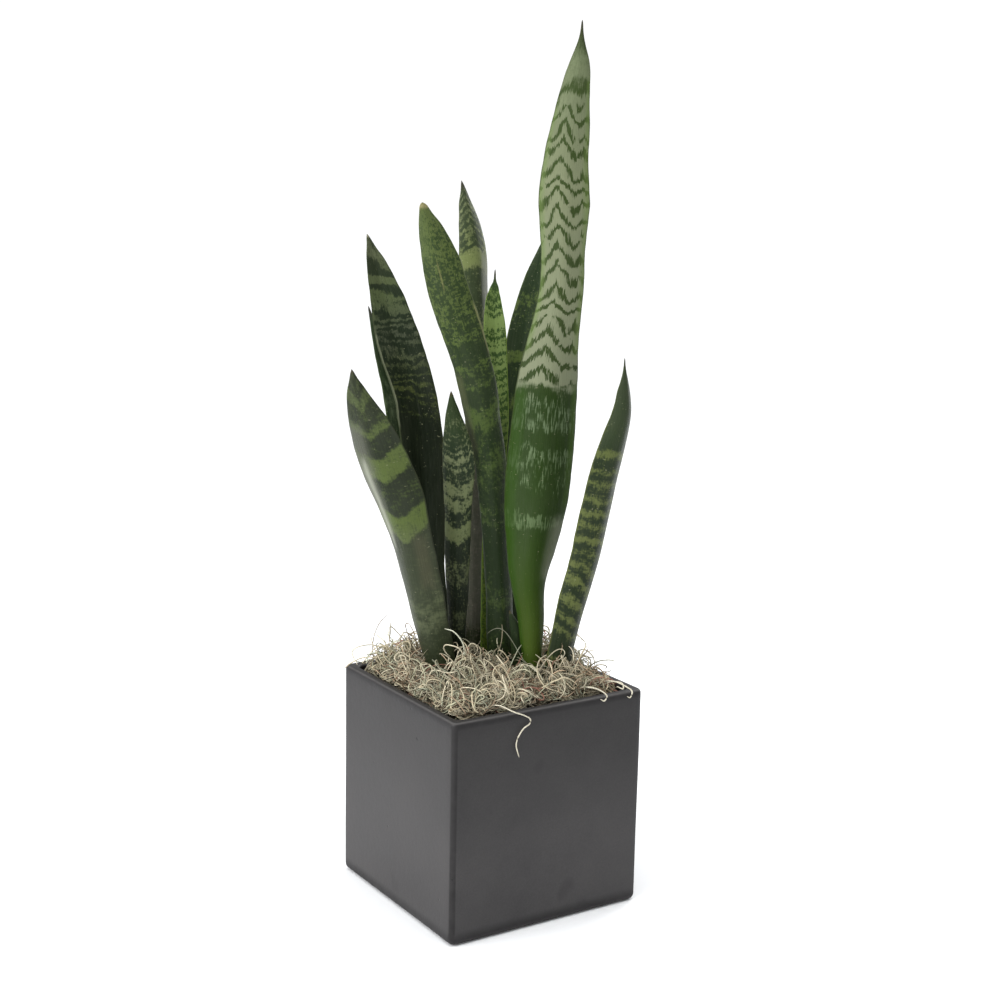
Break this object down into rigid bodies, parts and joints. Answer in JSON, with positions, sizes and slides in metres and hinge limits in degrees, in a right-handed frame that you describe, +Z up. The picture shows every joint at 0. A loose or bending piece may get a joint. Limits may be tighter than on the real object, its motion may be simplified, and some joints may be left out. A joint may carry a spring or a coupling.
{
  "type": "snake plant in cube pot",
  "caption": "Clump of upright banded snake plant leaves in a plain square ceramic pot, its soil covered with curly dried moss.",
  "frame": {"origin": "middle of the pot's underside", "axes": "+Z up along the leaves, X and Y square to the pot's walls, the front of the clump towards -X and -Y"},
  "size_m": [0.1728, 0.1973, 0.589],
  "materials": {
    "ceramic": "matte charcoal glaze on ceramic",
    "soil": "damp peat and bark, rough",
    "dried_moss": "dry curly strands, matte",
    "leaf_dark": "waxy leaf, satin, dark green with paler bands",
    "leaf_mid": "waxy leaf, satin, mid green with dark bands",
    "leaf_pale": "waxy leaf, satin, pale green with dark zigzag bands"
  },
  "bodies": {
    "root": {"pot": "ceramic", "potting_soil": "soil", "moss": "dried_moss", "leaf_front_left": "leaf_mid", "leaf_back_left": "leaf_dark", "leaf_back_left_narrow": "leaf_dark", "leaf_front_middle": "leaf_dark", "leaf_middle_left": "leaf_mid", "leaf_back_middle": "leaf_mid", "leaf_middle_slim": "leaf_pale", "leaf_back_right": "leaf_dark", "leaf_tall": "leaf_pale", "leaf_right": "leaf_dark", "sheath_left": "leaf_dark", "sheath_right": "leaf_dark"}
  },
  "joints": []
}
